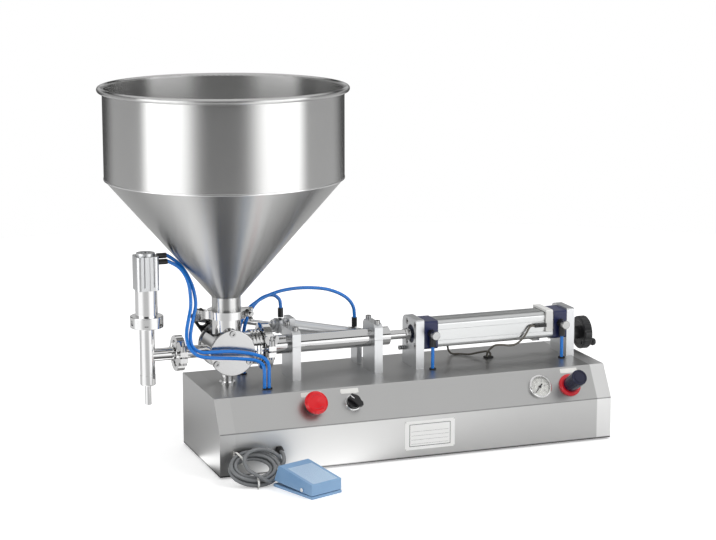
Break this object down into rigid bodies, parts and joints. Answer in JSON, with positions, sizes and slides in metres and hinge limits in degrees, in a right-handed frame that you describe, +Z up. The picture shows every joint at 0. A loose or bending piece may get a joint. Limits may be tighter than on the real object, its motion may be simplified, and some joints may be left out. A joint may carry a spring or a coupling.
{
  "type": "horizontal pneumatic paste filling machine",
  "caption": "Bench-top pneumatic paste filler: steel case with slanted control panel, tall conical hopper, rotary valve, piston tube, air cylinder, filling head and foot pedal.",
  "frame": {"origin": "on the bench, under the middle of the case's length, below the common centre line of valve, material tube and air cylinder", "axes": "+Z up, +X along the machine from the filling head towards the handwheel, -Y towards the control panel and the user"},
  "size_m": [0.9113, 0.4934, 0.6351],
  "materials": {
    "case_steel": "satin stainless sheet",
    "hopper_steel": "polished stainless sheet",
    "polished_steel": "polished stainless",
    "bright_steel": "ground and plated steel",
    "aluminium": "satin anodised aluminium",
    "navy_cap": "navy coated aluminium",
    "blue_tube": "clear blue polyurethane",
    "black_rubber": "matt rubber",
    "black_plastic": "black moulded plastic",
    "white_plastic": "white plastic",
    "red_plastic": "red moulded plastic",
    "navy_plastic": "navy moulded plastic",
    "glass": "clear gauge glass",
    "pedal_blue": "steel-blue hammered enamel",
    "grey_cord": "grey flexible cord",
    "control_parts": "valve and relay bodies"
  },
  "bodies": {
    "machine": {"case_shell": "case_steel", "base_plate": "case_steel", "rubber_feet": "black_rubber", "inner_controls": "control_parts", "rear_ports": "black_plastic", "hopper_wall": "hopper_steel", "hopper_cone": "hopper_steel", "hopper_neck": "hopper_steel", "hopper_gasket": "black_rubber", "hopper_clamp": "polished_steel", "line_clamps": "polished_steel", "gaskets_grommets": "black_rubber", "valve_body": "polished_steel", "valve_covers": "polished_steel", "valve_post": "polished_steel", "filling_tee": "polished_steel", "union_nut": "polished_steel", "head_spacer": "polished_steel", "head_cylinder": "aluminium", "nozzle": "polished_steel", "material_cylinder": "polished_steel", "cylinder_supports": "aluminium", "fasteners": "bright_steel", "air_barrel": "aluminium", "end_caps": "navy_cap", "cylinder_brackets": "aluminium", "tube_fittings": "black_plastic", "home_sensor": "black_plastic", "sensor_leads": "grey_cord", "estop_base": "black_plastic", "selector_bezel": "polished_steel", "gauge_case": "polished_steel", "gauge_glass": "glass", "regulator_body": "red_plastic", "actuator_body": "aluminium", "air_tubes": "blue_tube", "pedal_base": "pedal_blue", "pedal_cord": "grey_cord", "pedal_coil": "grey_cord"},
    "piston": {"material_piston": "white_plastic", "piston_seals": "black_rubber", "piston_rod": "bright_steel", "air_piston": "black_plastic"},
    "valve_rotor": {"valve_core": "bright_steel", "valve_lever": "black_plastic"},
    "actuator": {"actuator_rod": "bright_steel"},
    "head_valve": {"head_stem": "bright_steel"},
    "estop_button": {"estop_plunger": "red_plastic"},
    "estop_mushroom": {"estop_head": "red_plastic"},
    "selector": {"selector_lever": "black_plastic"},
    "needle": {"gauge_needle": "black_plastic"},
    "pressure_knob": {"regulator_knob": "navy_plastic"},
    "front_speed": {"speed_knob_front": "bright_steel"},
    "rear_speed": {"speed_knob_rear": "bright_steel"},
    "adjuster": {"lead_screw": "bright_steel", "handwheel": "black_plastic"},
    "adjuster_grip": {"handwheel_knob": "black_plastic"},
    "carriage": {"sensor_carriage": "white_plastic", "reed_sensor": "black_plastic"},
    "pedal": {"pedal_plate": "pedal_blue"}
  },
  "joints": [
    {"name": "piston_slide", "type": "slide", "parent": "machine", "child": "piston", "axis": [-1, 0, 0], "range_m": [0, 0.175]},
    {"name": "valve_turn", "type": "hinge", "parent": "machine", "child": "valve_rotor", "pos_m": [-0.305, 0, 0.188], "axis": [0, 1, 0], "range_deg": [0, 90]},
    {"name": "actuator_slide", "type": "slide", "parent": "machine", "child": "actuator", "axis": [0.9799, 0, -0.1994], "range_m": [0, 0.0801]},
    {"name": "stem_lift", "type": "slide", "parent": "machine", "child": "head_valve", "axis": [0, 0, 1], "range_m": [0, 0.012]},
    {"name": "estop_push", "type": "slide", "parent": "machine", "child": "estop_button", "axis": [0, 0.8525, -0.5228], "range_m": [0, 0.004], "stiffness_N_per_m": 800, "springref_m": -0.002},
    {"name": "estop_twist", "type": "hinge", "parent": "estop_button", "child": "estop_mushroom", "pos_m": [-0.1887, -0.11132, 0.10524], "axis": [0, 0.8525, -0.5228], "range_deg": [0, 30], "stiffness_Nm_per_rad": 0.05, "springref_deg": -5.73},
    {"name": "selector_turn", "type": "hinge", "parent": "machine", "child": "selector", "pos_m": [-0.1185, -0.11158, 0.10481], "axis": [0, 0.8525, -0.5228], "range_deg": [0, 90]},
    {"name": "needle_turn", "type": "hinge", "parent": "machine", "child": "needle", "pos_m": [0.226, -0.11357, 0.10157], "axis": [0, 0.8525, -0.5228], "range_deg": [0, 270], "stiffness_Nm_per_rad": 0.001, "springref_deg": -11.46},
    {"name": "regulator_turn", "type": "hinge", "parent": "machine", "child": "pressure_knob", "pos_m": [0.283, -0.11461, 0.09987], "axis": [0, 0.8525, -0.5228], "range_deg": [-1080, 1080]},
    {"name": "front_speed_turn", "type": "hinge", "parent": "machine", "child": "front_speed", "pos_m": [0.058, -0.04, 0.1915], "axis": [0, -1, 0], "range_deg": [-1080, 1080]},
    {"name": "rear_speed_turn", "type": "hinge", "parent": "machine", "child": "rear_speed", "pos_m": [0.306, -0.04, 0.1915], "axis": [0, -1, 0], "range_deg": [-1080, 1080]},
    {"name": "adjuster_turn", "type": "hinge", "parent": "machine", "child": "adjuster", "pos_m": [0.37, 0.033, 0.156], "axis": [1, 0, 0], "range_deg": [0, 12600]},
    {"name": "carriage_slide", "type": "slide", "parent": "machine", "child": "carriage", "axis": [-1, 0, 0], "range_m": [0, 0.1402], "deforming": ["sensor_leads"]},
    {"name": "grip_spin", "type": "hinge", "parent": "adjuster", "child": "adjuster_grip", "pos_m": [0.39, 0.018, 0.13991], "axis": [1, 0, 0], "continuous": true},
    {"name": "pedal_press", "type": "hinge", "parent": "machine", "child": "pedal", "pos_m": [-0.23122, -0.25057, 0.011], "axis": [-0.9336, -0.3584, 0], "range_deg": [0, 4], "stiffness_Nm_per_rad": 3, "springref_deg": -5.73}
  ],
  "couplings": [
    {"joint": "actuator_slide", "follows": "valve_turn", "m_per_rad": 0.05093},
    {"joint": "carriage_slide", "follows": "adjuster_turn", "m_per_rad": 0.00063662}
  ]
}
